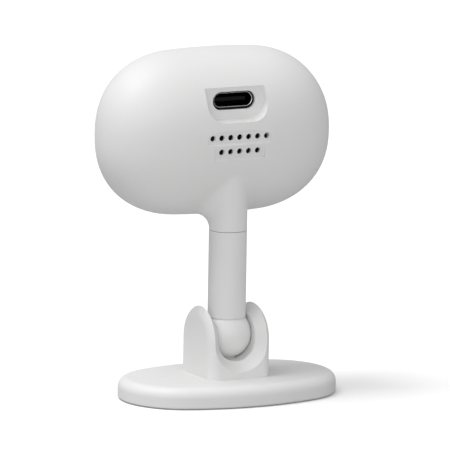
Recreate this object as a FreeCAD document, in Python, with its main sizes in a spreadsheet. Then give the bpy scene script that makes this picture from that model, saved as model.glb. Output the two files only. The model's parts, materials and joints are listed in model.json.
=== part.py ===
import FreeCAD, Part
import math
import os
import re

import Sketcher

# A small desk and shelf security camera: an oval head on a short post, held by a ball joint
# in a cradle on an oval foot. Millimetres. +Z is up, the lens looks along -Y, and the origin
# is on the resting plane below the centre of the ball.

VECTOR = FreeCAD.Vector
UP = VECTOR(0, 0, 1)
BACK = VECTOR(0, 1, 0)
SIDE = VECTOR(1, 0, 0)

SIZES = {
    # Foot: a four-arc oval plate with a hollow underside.
    "foot_half_length": 23.05,
    "foot_half_width": 14.5,
    "foot_end_radius": 12.8,
    "foot_back_shift": 0.7,
    "foot_top": 4.3,
    "foot_rim_bottom": 0.15,
    "foot_top_round": 2.0,
    "foot_bottom_round": 0.4,
    "foot_wall": 1.6,
    "foot_ceiling": 2.7,
    "plate_inset": 1.7,
    "plate_bottom": 0.7,
    "plate_top": 1.45,
    "weight_inset": 2.1,
    "weight_bottom": 1.5,
    "weight_top": 2.6,
    "sole_inset": 1.9,
    "sole_top": 0.65,
    "foot_screw_x": 15.5,
    "foot_screw_y": 6.3,
    "foot_boss_radius": 2.0,
    "foot_boss_bottom": 1.5,
    "foot_screw_radius": 0.75,
    "foot_screw_top": 3.3,
    "foot_screw_head_radius": 1.55,
    "foot_screw_head_height": 0.35,
    # Cradle: an arched block with a U-shaped slot right through it.
    "cradle_half_width": 6.9,
    "cradle_arch_radius": 7.0,
    "cradle_arch_height": 11.6,
    "cradle_round": 2.1,
    "slot_half_width": 4.15,
    "dish_depth": 2.3,
    "dish_flare": 1.85,
    "cradle_screw_x": 5.0,
    "cradle_screw_radius": 0.95,
    "cradle_screw_top": 8.2,
    "cradle_screw_head_radius": 1.8,
    "cradle_screw_head_height": 0.8,
    "screw_play": 0.15,
    # Ball joint and the spring-loaded pad below it.
    "ball_height": 12.4,
    "ball_radius": 5.0,
    "seat_play": 0.08,
    "pad_radius": 2.1,
    "pad_flange_radius": 3.0,
    "pad_flange_bottom": 3.45,
    "pad_flange_top": 4.15,
    "pad_top": 7.9,
    "pad_hole_play": 0.1,
    "spring_hole_radius": 1.5,
    "spring_thickness": 0.3,
    # Post.
    "post_radius": 3.83,
    "post_bottom": 15.9,
    "post_top": 33.5,
    "post_bore_radius": 2.3,
    "stud_top": 21.0,
    "rod_radius": 1.5,
    "rod_bottom": 13.0,
    "rod_top": 31.0,
    "pivot_bottom": 22.0,
    "pivot_top": 39.8,
    "groove_radius": 1.7,
    "groove_bottom": 38.45,
    "groove_top": 38.95,
    # Head shell.
    "head_half_width": 25.07,
    "head_half_height": 16.66,
    "head_power": 2.28,
    "head_insert": 6.82,
    "head_widest_y": -9.07,
    "head_rear_depth": 13.98,
    "head_front_depth": 5.0,
    "head_height": 52.62,
    "head_droop": 0.06,
    "head_side_power": 2.69,
    "head_rise_power": 2.06,
    "shell_wall": 1.8,
    "seam_y": -11.6,
    "seam_gap": 0.05,
    "lip_play": 0.1,
    "lip_wall": 1.1,
    "lip_depth": 1.8,
    "neck_bottom": 33.6,
    "neck_fillet": 3.1,
    "neck_bore_radius": 2.35,
    "neck_floor": 38.0,
    "neck_wide_radius": 3.05,
    "neck_wide_top": 45.0,
    "pocket_half_width": 6.68,
    "pocket_top": 62.74,
    "pocket_bottom": 56.35,
    "pocket_floor_y": 1.7,
    "pocket_round": 3.6,
    "pocket_lead": 0.6,
    "pocket_backing": 1.8,
    "port_height": 60.0,
    "port_half_width": 4.72,
    "port_half_height": 1.83,
    "port_lip": 0.5,
    "port_space": 1.0,
    "hole_radius": 0.59,
    "hole_pitch": 2.0,
    "hole_row_upper": 53.0,
    "hole_row_lower": 50.16,
    "grille_wall": 0.8,
    "upper_ledge_half_width": 7.2,
    "upper_ledge_top": 54.3,
    "upper_ledge_top_y": 4.77,
    "upper_ledge_bottom": 51.9,
    "upper_ledge_bottom_y": 4.44,
    "ledge_slope": 1.0,
    "lower_ledge_half_width": 5.6,
    "lower_ledge_top": 51.3,
    "lower_ledge_top_y": 4.9,
    "lower_ledge_bottom": 48.72,
    "lower_ledge_bottom_y": 4.24,
    "boss_radius": 1.8,
    # Front window.
    "window_half_width": 19.0,
    "window_half_height": 10.8,
    "window_play": 0.08,
    "window_seat_y": -13.15,
    "window_rim_y": -14.0,
    "window_crown": 0.85,
    "opening_half_width": 16.0,
    "opening_half_height": 8.4,
    # Circuit boards.
    "board_front": -7.0,
    "board_back": -6.0,
    "board_half_width": 17.0,
    "board_half_height": 10.5,
    "board_round": 3.0,
    "board_height": 52.9,
    "board_screw_x": 14.0,
    "board_screw_z": 7.8,
    "board_screw_radius": 0.7,
    "board_screw_head_radius": 1.4,
    "board_screw_head_height": 0.8,
    "board_screw_tip": -2.6,
    "led_board_front": -10.9,
    "led_board_back": -10.1,
    "led_board_half_length": 19.2,
    "led_board_half_height": 7.6,
    "led_screw_x": 17.2,
    "led_screw_radius": 0.6,
    "led_screw_tip": -12.5,
    "led_screw_head_radius": 1.2,
    "led_screw_head_height": 0.6,
    "led_boss_radius": 1.6,
    "led_hole_radius": 5.0,
    "led_x": 9.4,
    "led_z": 3.6,
    "led_half": 1.2,
    "led_front": -12.0,
    # Lens.
    "holder_half": 5.6,
    "holder_front": -9.9,
    "holder_wall": 1.0,
    "barrel_radius": 3.5,
    "barrel_front": -12.7,
    "barrel_back": -8.4,
    "barrel_bore_radius": 2.7,
    "barrel_lip_radius": 4.3,
    "barrel_lip_back": -11.9,
    "sensor_half_width": 2.8,
    "sensor_half_height": 2.3,
    "sensor_front": -7.6,
    # Speaker, behind the two rows of holes.
    "speaker_height": 50.9,
    "speaker_half_length": 7.4,
    "speaker_half_height": 4.3,
    "speaker_front": -0.02,
    "speaker_back": 2.48,
    "speaker_wall": 0.5,
    "gasket_back": 2.88,
    "mesh_back": 3.0,
    "cone_inset": 0.6,
    "collar_wall": 0.8,
    "collar_front": 0.3,
    # USB-C receptacle.
    "usb_height": 60.12,
    "usb_half_width": 4.47,
    "usb_half_height": 1.63,
    "usb_wall": 0.3,
    "usb_front": -5.6,
    "usb_mouth": 1.25,
    "usb_board_half_width": 7.5,
    "usb_board_thickness": 0.8,
    "usb_board_front": -5.7,
    "usb_board_back": -0.3,
}

WORD = re.compile(r"[a-z][a-z_]*")
doc = FreeCAD.newDocument("camera")
sheet = doc.addObject("Spreadsheet::Sheet", "Sizes")
nodes = []


def fill_sheet():
    for row, (alias, value) in enumerate(SIZES.items(), start=1):
        sheet.set("A%d" % row, alias)
        sheet.set("B%d" % row, repr(value))
        sheet.setAlias("B%d" % row, alias)
    doc.recompute()


def size(alias):
    return float(sheet.get(alias))


def linked(text):
    """A sum of size names as an expression on the sheet."""
    return WORD.sub(lambda word: "Sizes." + word.group(0), text)


def number(text):
    """The value of a sum of size names and numbers, with no brackets."""
    total = 0.0
    for sign, term in re.findall(r"([+-]?)\s*([^+-]+)", text):
        value = -1.0 if sign == "-" else 1.0
        for operator, factor in re.findall(r"([*/]?)\s*([\w.]+)", term):
            amount = size(factor) if factor in SIZES else float(factor)
            value = value / amount if operator == "/" else value * amount
        total += value
    return total


def bind(item, **expressions):
    for name, text in expressions.items():
        item.setExpression(name.replace("__", "."), linked(text))


def node(item, label):
    item.Label = label
    nodes.append(item)
    return item


# ---------------------------------------------------------------- sketches and bodies


def new_body(label):
    return node(doc.addObject("PartDesign::Body", label), label)


def new_sketch(body, role, name, lift="0", shift="0"):
    """A sketch on one of the body's origin planes, moved along its normal and its second axis."""
    planes = {item.Role: item for item in body.Origin.OriginFeatures}
    sketch = body.newObject("Sketcher::SketchObject", name)
    sketch.AttachmentSupport = [(planes[role], "")]
    sketch.MapMode = "FlatFace"
    bind(sketch, AttachmentOffset__Base__y=shift, AttachmentOffset__Base__z=lift)
    return sketch


def hold(sketch, kind, text, *points, value=None):
    """A driving dimension; a text with brackets needs its value given as well."""
    amount = number(text) if value is None else value
    index = sketch.addConstraint(Sketcher.Constraint(kind, *points, amount))
    sketch.setExpression("Constraints[%d]" % index, linked(text))


def fix_point(sketch, item, point, across, along):
    hold(sketch, "DistanceX", across, -1, 1, item, point)
    hold(sketch, "DistanceY", along, -1, 1, item, point)


def polygon(sketch, corners):
    first = sketch.GeometryCount
    places = [VECTOR(number(across), number(along), 0) for across, along in corners]
    count = len(corners)
    for i in range(count):
        sketch.addGeometry(Part.LineSegment(places[i], places[(i + 1) % count]), False)
    for i in range(count):
        following = first + (i + 1) % count
        sketch.addConstraint(Sketcher.Constraint("Coincident", first + i, 2, following, 1))
    for i, (across, along) in enumerate(corners):
        fix_point(sketch, first + i, 1, across, along)


def rectangle(sketch, left, right, low, high):
    polygon(sketch, [(left, low), (right, low), (right, high), (left, high)])


def circle(sketch, across, along, radius):
    centre = VECTOR(number(across), number(along), 0)
    item = sketch.addGeometry(Part.Circle(centre, UP, number(radius)), False)
    fix_point(sketch, item, 3, across, along)
    hold(sketch, "Radius", radius, item)


def arc(sketch, centre, radius, start, end):
    round_line = Part.Circle(centre, UP, radius)
    return sketch.addGeometry(Part.ArcOfCircle(round_line, start, end), False)


def tangent_loop(sketch, items):
    for item, following in zip(items, items[1:] + items[:1]):
        sketch.addConstraint(Sketcher.Constraint("Tangent", item, 2, following, 1))


def stadium(sketch, across, along, half_length, half_height):
    """A slot outline with half-round ends, long along the sketch's first axis."""
    x, y = number(across), number(along)
    radius = number(half_height)
    reach = number(half_length) - radius
    quarter = math.pi / 2
    right = arc(sketch, VECTOR(x + reach, y, 0), radius, -quarter, quarter)
    top = sketch.addGeometry(
        Part.LineSegment(VECTOR(x + reach, y + radius, 0), VECTOR(x - reach, y + radius, 0)), False)
    left = arc(sketch, VECTOR(x - reach, y, 0), radius, quarter, 3 * quarter)
    bottom = sketch.addGeometry(
        Part.LineSegment(VECTOR(x - reach, y - radius, 0), VECTOR(x + reach, y - radius, 0)), False)
    tangent_loop(sketch, [right, top, left, bottom])
    sketch.addConstraint(Sketcher.Constraint("Equal", right, left))
    span = (half_length, half_height)
    hold(sketch, "DistanceX", across + " + (%s) - (%s)" % span, -1, 1, right, 3, value=x + reach)
    hold(sketch, "DistanceX", across + " - (%s) + (%s)" % span, -1, 1, left, 3, value=x - reach)
    hold(sketch, "DistanceY", along, -1, 1, right, 3)
    hold(sketch, "Radius", half_height, right)


def oval(sketch, inset):
    """The foot's outline, moved inwards: two end arcs and two flatter side arcs, all tangent."""
    end = size("foot_end_radius") - number(inset)
    reach = size("foot_half_length") - size("foot_end_radius")
    height = size("foot_half_width") - size("foot_end_radius")
    drop = (reach ** 2 - height ** 2) / (2 * height)
    side = drop + size("foot_half_width") - number(inset)
    middle = size("foot_back_shift")
    lean = math.atan2(drop, reach)
    right = arc(sketch, VECTOR(reach, middle, 0), end, -lean, lean)
    top = arc(sketch, VECTOR(0, middle - drop, 0), side, lean, math.pi - lean)
    left = arc(sketch, VECTOR(-reach, middle, 0), end, math.pi - lean, math.pi + lean)
    bottom = arc(sketch, VECTOR(0, middle + drop, 0), side, math.pi + lean, 2 * math.pi - lean)
    tangent_loop(sketch, [right, top, left, bottom])
    sketch.addConstraint(Sketcher.Constraint("Equal", right, left))
    sketch.addConstraint(Sketcher.Constraint("Equal", top, bottom))
    fix_point(sketch, right, 3, "foot_half_length - foot_end_radius", "foot_back_shift")
    fix_point(sketch, left, 3, "foot_end_radius - foot_half_length", "foot_back_shift")
    hold(sketch, "Radius", "foot_end_radius - " + inset, right)
    hold(sketch, "Radius", "%r - %s" % (round(drop + size("foot_half_width"), 6), inset), top)


def pad(body, sketch, length, middle=False, reverse=False):
    feature = body.newObject("PartDesign::Pad", sketch.Name + "_pad")
    feature.Profile = sketch
    feature.SideType = "Symmetric" if middle else "One side"
    feature.Reversed = reverse
    bind(feature, Length=length)
    return grown(body, feature)


def grown(body, feature):
    doc.recompute()
    if "Invalid" in feature.State or feature.Shape.isNull():
        raise RuntimeError("%s failed in %s" % (feature.Name, body.Label))
    return feature


def pocket(body, sketch, length, middle=False, reverse=False):
    before = body.Shape.Volume
    feature = body.newObject("PartDesign::Pocket", sketch.Name + "_pocket")
    feature.Profile = sketch
    feature.SideType = "Symmetric" if middle else "One side"
    feature.Reversed = reverse
    bind(feature, Length=length)
    return shrunk(body, feature, before)


def shrunk(body, feature, before):
    grown(body, feature)
    if body.Shape.Volume > before - 1e-6:
        raise RuntimeError("%s cut nothing from %s" % (feature.Name, body.Label))
    return feature


def spin(body, sketch, axis):
    feature = body.newObject("PartDesign::Revolution", sketch.Name + "_spin")
    feature.Profile = sketch
    feature.ReferenceAxis = (sketch, [axis])
    feature.Angle = 360
    return grown(body, feature)


def groove(body, sketch, axis, angle=360):
    """A full turn cut away, or part of a turn centred on the sketch."""
    before = body.Shape.Volume
    feature = body.newObject("PartDesign::Groove", sketch.Name + "_groove")
    feature.Profile = sketch
    feature.ReferenceAxis = (sketch, [axis])
    feature.Angle = angle
    feature.Midplane = angle < 360
    return shrunk(body, feature, before)


def fillet(body, base, chosen, radius):
    names = ["Edge%d" % i for i, edge in enumerate(base.Shape.Edges, start=1) if chosen(edge)]
    feature = body.newObject("PartDesign::Fillet", base.Name + "_round")
    feature.Base = (base, names)
    bind(feature, Radius=radius)
    return grown(body, feature)


def turned(label, corners):
    """A turned piece: a half section (radius, height) spun about the Z axis."""
    body = new_body(label)
    sketch = new_sketch(body, "XZ_Plane", label + "_section")
    polygon(sketch, corners)
    spin(body, sketch, "V_Axis")
    return body


# ---------------------------------------------------------------- primitives


def box(name, x, y, z):
    """A box from three (low, high) pairs."""
    item = doc.addObject("Part::Box", name)
    bind(item, Length="(%s) - (%s)" % (x[1], x[0]), Width="(%s) - (%s)" % (y[1], y[0]),
         Height="(%s) - (%s)" % (z[1], z[0]))
    bind(item, Placement__Base__x=x[0], Placement__Base__y=y[0], Placement__Base__z=z[0])
    return item


def upright(name, x, y, radius, low, high):
    item = doc.addObject("Part::Cylinder", name)
    bind(item, Radius=radius, Height="(%s) - (%s)" % (high, low))
    bind(item, Placement__Base__x=x, Placement__Base__y=y, Placement__Base__z=low)
    return item


def level(name, x, z, radius, front, back):
    """A cylinder along Y."""
    item = doc.addObject("Part::Cylinder", name)
    item.Placement = FreeCAD.Placement(VECTOR(), FreeCAD.Rotation(SIDE, -90))
    bind(item, Radius=radius, Height="(%s) - (%s)" % (back, front))
    bind(item, Placement__Base__x=x, Placement__Base__y=front, Placement__Base__z=z)
    return item


def ball(name, y, z, radius):
    item = doc.addObject("Part::Sphere", name)
    bind(item, Radius=radius)
    bind(item, Placement__Base__y=y, Placement__Base__z=z)
    return item


def join(name, *parts):
    item = doc.addObject("Part::MultiFuse", name)
    item.Shapes = list(parts)
    return item


def cut(name, base, *tools):
    item = doc.addObject("Part::Cut", name)
    item.Base = base
    item.Tool = tools[0] if len(tools) == 1 else join(name + "_tools", *tools)
    return item


def overlap(name, first, second):
    item = doc.addObject("Part::Common", name)
    item.Base = first
    item.Tool = second
    return item


def group(label, members):
    item = doc.addObject("Part::Compound", label)
    item.Links = members
    return node(item, label)


def coded(label, shape):
    item = doc.addObject("Part::Feature", label)
    item.Shape = shape
    return node(item, label)


# ---------------------------------------------------------------- foot

FOOT_SCREWS = [
    (sign_x + "foot_screw_x", "foot_back_shift " + sign_y + " foot_screw_y")
    for sign_x in ("", "-") for sign_y in ("+", "-")
]
CRADLE_SCREWS = [("cradle_screw_x", "0"), ("-cradle_screw_x", "0")]


def make_base_cover():
    body = new_body("base_cover")
    outline = new_sketch(body, "XY_Plane", "cover_outline", "foot_rim_bottom")
    oval(outline, "0")
    plate = pad(body, outline, "foot_top - foot_rim_bottom")
    top = size("foot_top") - 0.01
    rounded = fillet(body, plate, lambda edge: edge.BoundBox.ZMin > top, "foot_top_round")
    rim = size("foot_rim_bottom") + 0.01
    fillet(body, rounded, lambda edge: edge.BoundBox.ZMax < rim, "foot_bottom_round")
    hollow = new_sketch(body, "XY_Plane", "cover_hollow", "foot_rim_bottom")
    oval(hollow, "foot_wall")
    pocket(body, hollow, "foot_ceiling - foot_rim_bottom", reverse=True)
    bosses = new_sketch(body, "XY_Plane", "cover_bosses", "foot_boss_bottom")
    for x, y in FOOT_SCREWS:
        circle(bosses, x, y, "foot_boss_radius")
    pad(body, bosses, "foot_ceiling - foot_boss_bottom + 0.2")
    pilots = new_sketch(body, "XY_Plane", "cover_pilots", "foot_boss_bottom")
    for x, y in FOOT_SCREWS:
        circle(pilots, x, y, "foot_screw_radius")
    pocket(body, pilots, "foot_screw_top - foot_boss_bottom", reverse=True)
    through = new_sketch(body, "XY_Plane", "cover_holes", "foot_ceiling")
    circle(through, "0", "0", "pad_flange_radius + pad_hole_play")
    for x, y in CRADLE_SCREWS:
        circle(through, x, y, "cradle_screw_radius + screw_play")
    pocket(body, through, "foot_top - foot_ceiling", reverse=True)


def make_base_plate():
    body = new_body("base_plate")
    outline = new_sketch(body, "XY_Plane", "plate_outline", "plate_bottom")
    oval(outline, "plate_inset")
    for x, y in FOOT_SCREWS:
        circle(outline, x, y, "foot_screw_radius + screw_play")
    pad(body, outline, "plate_top - plate_bottom")
    sinks = new_sketch(body, "XY_Plane", "plate_sinks", "plate_bottom")
    for x, y in FOOT_SCREWS:
        circle(sinks, x, y, "foot_screw_head_radius + screw_play")
    pocket(body, sinks, "foot_screw_head_height + 0.05", reverse=True)


def make_base_weight():
    body = new_body("base_weight")
    outline = new_sketch(body, "XY_Plane", "weight_outline", "weight_bottom")
    oval(outline, "weight_inset")
    for x, y in FOOT_SCREWS:
        circle(outline, x, y, "foot_boss_radius + 0.3")
    for x, y in CRADLE_SCREWS:
        circle(outline, x, y, "cradle_screw_head_radius + 0.3")
    pad(body, outline, "weight_top - weight_bottom")


def make_foot_pad():
    body = new_body("foot_pad")
    outline = new_sketch(body, "XY_Plane", "sole_outline")
    oval(outline, "sole_inset")
    sole = pad(body, outline, "sole_top")
    fillet(body, sole, lambda edge: edge.BoundBox.ZMax < 0.01, "foot_rim_bottom")


def screw(name, place, radius, tip, head_radius, head_near, head_far, along="Z"):
    """A pan-head screw with a cross recess; its head lies between head_near and head_far."""
    maker = upright if along == "Z" else level
    shank = maker(name + "_shank", *place, radius, *tip)
    head = maker(name + "_head", *place, head_radius, head_near, head_far)
    return join(name + "_blank", shank, head)


def cross_recess(name, place, reach, depth, along="Z"):
    """Two crossed slots, each a sixth as wide as it is long."""
    x, other = place
    wide = ("%s - %s" % (x, reach), "%s + %s" % (x, reach))
    slim = ("%s - %s / 6" % (x, reach), "%s + %s / 6" % (x, reach))
    wide_other = ("%s - %s" % (other, reach), "%s + %s" % (other, reach))
    slim_other = ("%s - %s / 6" % (other, reach), "%s + %s / 6" % (other, reach))
    if along == "Z":
        return [box(name + "_slot_a", wide, slim_other, depth),
                box(name + "_slot_b", slim, wide_other, depth)]
    return [box(name + "_slot_a", wide, depth, slim_other),
            box(name + "_slot_b", slim, depth, wide_other)]


def make_foot_screws():
    members = []
    for i, place in enumerate(FOOT_SCREWS):
        name = "foot_screw_%d" % i
        head = "plate_bottom + foot_screw_head_height"
        blank = screw(name, place, "foot_screw_radius", (head, "foot_screw_top"),
                      "foot_screw_head_radius", "plate_bottom", head)
        depth = ("plate_bottom - 1", "plate_bottom + foot_screw_head_height / 2")
        members.append(cut(name, blank, *cross_recess(name, place, "foot_screw_head_radius * 0.7", depth)))
    group("base_screws", members)


def make_cradle_screws():
    members = []
    for i, place in enumerate(CRADLE_SCREWS):
        name = "cradle_screw_%d" % i
        near = "foot_ceiling - cradle_screw_head_height"
        blank = screw(name, place, "cradle_screw_radius", ("foot_ceiling", "cradle_screw_top"),
                      "cradle_screw_head_radius", near, "foot_ceiling")
        depth = (near + " - 1", near + " + cradle_screw_head_height / 2")
        members.append(cut(name, blank, *cross_recess(name, place, "cradle_screw_head_radius * 0.7", depth)))
    group("cradle_screws", members)


# ---------------------------------------------------------------- cradle and ball joint


def arch(sketch):
    """A tombstone outline: straight sides and a half-round top."""
    radius, height, foot = size("cradle_arch_radius"), size("cradle_arch_height"), size("foot_top")
    corners = [VECTOR(-radius, height, 0), VECTOR(-radius, foot, 0),
               VECTOR(radius, foot, 0), VECTOR(radius, height, 0)]
    sides = [sketch.addGeometry(Part.LineSegment(a, b), False) for a, b in zip(corners, corners[1:])]
    crown = arc(sketch, VECTOR(0, height, 0), radius, 0, math.pi)
    sketch.addConstraint(Sketcher.Constraint("Coincident", sides[0], 2, sides[1], 1))
    sketch.addConstraint(Sketcher.Constraint("Coincident", sides[1], 2, sides[2], 1))
    sketch.addConstraint(Sketcher.Constraint("Tangent", sides[2], 2, crown, 1))
    sketch.addConstraint(Sketcher.Constraint("Tangent", crown, 2, sides[0], 1))
    sketch.addConstraint(Sketcher.Constraint("Vertical", sides[2]))
    fix_point(sketch, crown, 3, "0", "cradle_arch_height")
    hold(sketch, "Radius", "cradle_arch_radius", crown)
    fix_point(sketch, sides[1], 1, "-cradle_arch_radius", "foot_top")
    hold(sketch, "DistanceY", "foot_top", -1, 1, sides[1], 2)


def u_outline(sketch, half_width, centre, top):
    """An upright U: a half-round bottom and two straight sides, closed above the block."""
    radius, height = number(half_width), number(centre)
    bottom = arc(sketch, VECTOR(0, height, 0), radius, math.pi, 2 * math.pi)
    corners = [VECTOR(radius, height, 0), VECTOR(radius, number(top), 0),
               VECTOR(-radius, number(top), 0), VECTOR(-radius, height, 0)]
    sides = [sketch.addGeometry(Part.LineSegment(a, b), False) for a, b in zip(corners, corners[1:])]
    sketch.addConstraint(Sketcher.Constraint("Tangent", bottom, 2, sides[0], 1))
    sketch.addConstraint(Sketcher.Constraint("Coincident", sides[0], 2, sides[1], 1))
    sketch.addConstraint(Sketcher.Constraint("Coincident", sides[1], 2, sides[2], 1))
    sketch.addConstraint(Sketcher.Constraint("Tangent", sides[2], 2, bottom, 1))
    sketch.addConstraint(Sketcher.Constraint("Vertical", sides[0]))
    sketch.addConstraint(Sketcher.Constraint("Horizontal", sides[1]))
    fix_point(sketch, bottom, 3, "0", centre)
    hold(sketch, "Radius", half_width, bottom)
    hold(sketch, "DistanceY", top, -1, 1, sides[1], 1)


def make_cradle():
    body = new_body("cradle")
    profile = new_sketch(body, "YZ_Plane", "cradle_profile")
    arch(profile)
    block = pad(body, profile, "cradle_half_width * 2", middle=True)
    wide = size("cradle_half_width") - 0.01
    floor = size("foot_top") + 0.01

    def outer_corner(edge):
        bounds = edge.BoundBox
        return abs(bounds.Center.x) > wide and bounds.ZMax > floor

    fillet(body, block, outer_corner, "cradle_round")
    slot = new_sketch(body, "XZ_Plane", "cradle_slot")
    u_outline(slot, "slot_half_width", "cradle_arch_height", "cradle_arch_height + cradle_arch_radius + 2")
    pocket(body, slot, "cradle_arch_radius * 2 + 2", middle=True)
    # The flared rim follows the arch above its centre and is a cone about Y below it.
    inner = "cradle_arch_radius - dish_depth"
    outer_hw = "slot_half_width + dish_flare * 2"
    outer_at = "cradle_arch_radius + dish_depth"
    crown = new_sketch(body, "XZ_Plane", "cradle_crown_flare", shift="cradle_arch_height")
    polygon(crown, [("slot_half_width", inner), (outer_hw, outer_at),
                    ("-slot_half_width - dish_flare * 2", outer_at), ("-slot_half_width", inner)])
    groove(body, crown, "H_Axis", angle=180)
    rim = new_sketch(body, "XY_Plane", "cradle_rim_flare", "cradle_arch_height")
    polygon(rim, [("0", inner), ("slot_half_width", inner), (outer_hw, outer_at), ("0", outer_at)])
    groove(body, rim, "V_Axis")
    front = new_sketch(body, "XY_Plane", "cradle_front_flare", "cradle_arch_height")
    front_inner = "dish_depth - cradle_arch_radius"
    front_outer = "-cradle_arch_radius - dish_depth"
    polygon(front, [("0", front_inner), ("slot_half_width", front_inner),
                    (outer_hw, front_outer), ("0", front_outer)])
    groove(body, front, "V_Axis")
    bottom = new_sketch(body, "XY_Plane", "cradle_bores", "foot_top")
    circle(bottom, "0", "0", "pad_radius + pad_hole_play")
    for x, y in CRADLE_SCREWS:
        circle(bottom, x, y, "cradle_screw_radius")
    pocket(body, bottom, "cradle_screw_top - foot_top + 0.2", reverse=True)
    nodes.remove(body)
    body.Label = "cradle_block"
    seat = ball("cradle_seat", "0", "ball_height", "ball_radius + seat_play")
    node(cut("cradle", body, seat), "cradle")


def make_friction_pad():
    stem = upright("pad_stem", "0", "0", "pad_radius", "pad_flange_bottom", "pad_top")
    flange = upright("pad_flange", "0", "0", "pad_flange_radius", "pad_flange_bottom", "pad_flange_top")
    cup = ball("pad_cup", "0", "ball_height", "ball_radius + seat_play / 2")
    node(cut("friction_pad", join("pad_blank", stem, flange), cup), "friction_pad")


def make_disc_spring():
    low, top = "weight_top", "pad_flange_bottom"
    turned("disc_spring", [
        ("pad_flange_radius", low),
        ("pad_flange_radius", low + " + spring_thickness"),
        ("spring_hole_radius", top),
        ("spring_hole_radius", top + " - spring_thickness"),
    ])


def make_ball_stud():
    sphere = ball("stud_sphere", "0", "ball_height", "ball_radius")
    lid = box("stud_lid", ("-ball_radius", "ball_radius"), ("-ball_radius", "ball_radius"),
              ("post_bottom", "ball_height + ball_radius"))
    shank = upright("stud_shank", "0", "0", "post_bore_radius", "ball_height", "stud_top")
    thread = upright("stud_thread", "0", "0", "rod_radius", "rod_bottom", "stud_top + 1")
    solid = join("stud_solid", cut("stud_trimmed", sphere, lid), shank)
    node(cut("ball_stud", solid, thread), "ball_stud")


# ---------------------------------------------------------------- post and swivel


def make_post():
    body = turned("stem_tube", [
        ("post_bore_radius", "post_bottom"),
        ("post_radius", "post_bottom"),
        ("post_radius", "post_top"),
        ("post_bore_radius", "post_top"),
    ])
    top = size("post_top") - 0.01
    tip = body.Tip
    rim = size("post_radius") * 2 - 0.1
    fillet(body, tip, lambda edge: edge.BoundBox.ZMin > top and edge.BoundBox.XLength > rim, "screw_play")
    node(upright("stem_rod", "0", "0", "rod_radius", "rod_bottom", "rod_top"), "stem_rod")
    turned("swivel_post", [
        ("rod_radius", "pivot_bottom"),
        ("post_bore_radius", "pivot_bottom"),
        ("post_bore_radius", "groove_bottom"),
        ("groove_radius", "groove_bottom"),
        ("groove_radius", "groove_top"),
        ("post_bore_radius", "groove_top"),
        ("post_bore_radius", "pivot_top"),
        ("0", "pivot_top"),
        ("0", "rod_top"),
        ("rod_radius", "rod_top"),
    ])
    turned("swivel_washer", [
        ("post_bore_radius + 0.05", "neck_floor"),
        ("neck_wide_radius - 0.1", "neck_floor"),
        ("neck_wide_radius - 0.1", "groove_bottom - 0.05"),
        ("post_bore_radius + 0.05", "groove_bottom - 0.05"),
    ])
    ring = upright("clip_ring", "0", "0", "neck_wide_radius - 0.15",
                   "groove_bottom + 0.03", "groove_top - 0.03")
    hole = upright("clip_hole", "0", "0", "groove_radius + 0.03", "groove_bottom - 1", "groove_top + 1")
    mouth = box("clip_mouth", ("-groove_radius * 0.8", "groove_radius * 0.8"), ("-post_radius", "0"),
                ("groove_bottom - 1", "groove_top + 1"))
    node(cut("swivel_clip", ring, hole, mouth), "swivel_clip")


# ---------------------------------------------------------------- head shell


def head_section(half_width, half_height, insert, y, height):
    """A closed curve in the XZ direction: a superellipse pulled apart by a straight insert."""
    power = size("head_power")
    count = 42
    points = []
    for i in range(count):
        angle = 2 * math.pi * i / count
        across, along = math.cos(angle), math.sin(angle)
        reach = (abs(across) ** power + abs(along) ** power) ** (-1 / power)
        x = (half_width - insert) * reach * across + math.copysign(insert, across)
        points.append(VECTOR(x, y, height + half_height * reach * along))
    curve = Part.BSplineCurve()
    curve.interpolate(points, PeriodicFlag=True)
    return Part.Wire([curve.toShape()])


def head_solid(inset):
    """The head's outer form, moved inwards: a rounded front edge and a domed, drooping rear."""
    widest, middle, insert = size("head_widest_y"), size("head_height"), size("head_insert")
    half_width = size("head_half_width") - inset
    half_height = size("head_half_height") - inset
    front, rear = size("head_front_depth") - inset, size("head_rear_depth") - inset
    side_power, rise_power = size("head_side_power"), size("head_rise_power")
    sections = []
    for degrees in (90, 60, 30):
        angle = math.radians(degrees)
        trim = front * (1 - math.cos(angle))
        y = widest - front * math.sin(angle)
        sections.append(head_section(half_width - trim, half_height - trim, insert, y, middle))
    for degrees in (0, 15, 30, 43, 55, 65, 73, 80, 86):
        along = math.sin(math.radians(degrees))
        narrow = (1 - along ** side_power) ** (1 / side_power)
        low = (1 - along ** rise_power) ** (1 / rise_power)
        sections.append(head_section(half_width * narrow, half_height * low, insert * narrow,
                                     widest + rear * along, middle - size("head_droop") * rear * along))
    sections.append(Part.Vertex(0, widest + rear, middle - size("head_droop") * rear))
    return Part.makeLoft(sections, True, False)


def slab(x, y, z):
    """A plain box shape from three (low, high) pairs of numbers."""
    return Part.makeBox(x[1] - x[0], y[1] - y[0], z[1] - z[0], VECTOR(x[0], y[0], z[0]))


def behind(y):
    return slab((-40, 40), (y, 30), (0, 100))


def ahead(y):
    return slab((-40, 40), (-40, y), (0, 100))


def oblong(half_width, half_height, front, back, height):
    """A prism along Y with half-round ends."""
    reach = half_width - half_height
    ends = [
        Part.makeCylinder(half_height, back - front, VECTOR(x, front, height), BACK)
        for x in (-reach, reach)
    ]
    middle = slab((-reach, reach), (front, back), (height - half_height, height + half_height))
    return middle.fuse(ends).removeSplitter()


def oval_prism(half_width, half_height, front, back):
    """A prism along Y whose outline matches the head's own section."""
    insert = size("head_insert") * half_width / size("head_half_width")
    outline = head_section(half_width, half_height, insert, front, size("head_height"))
    return Part.Face(outline).extrude(VECTOR(0, back - front, 0))


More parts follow.
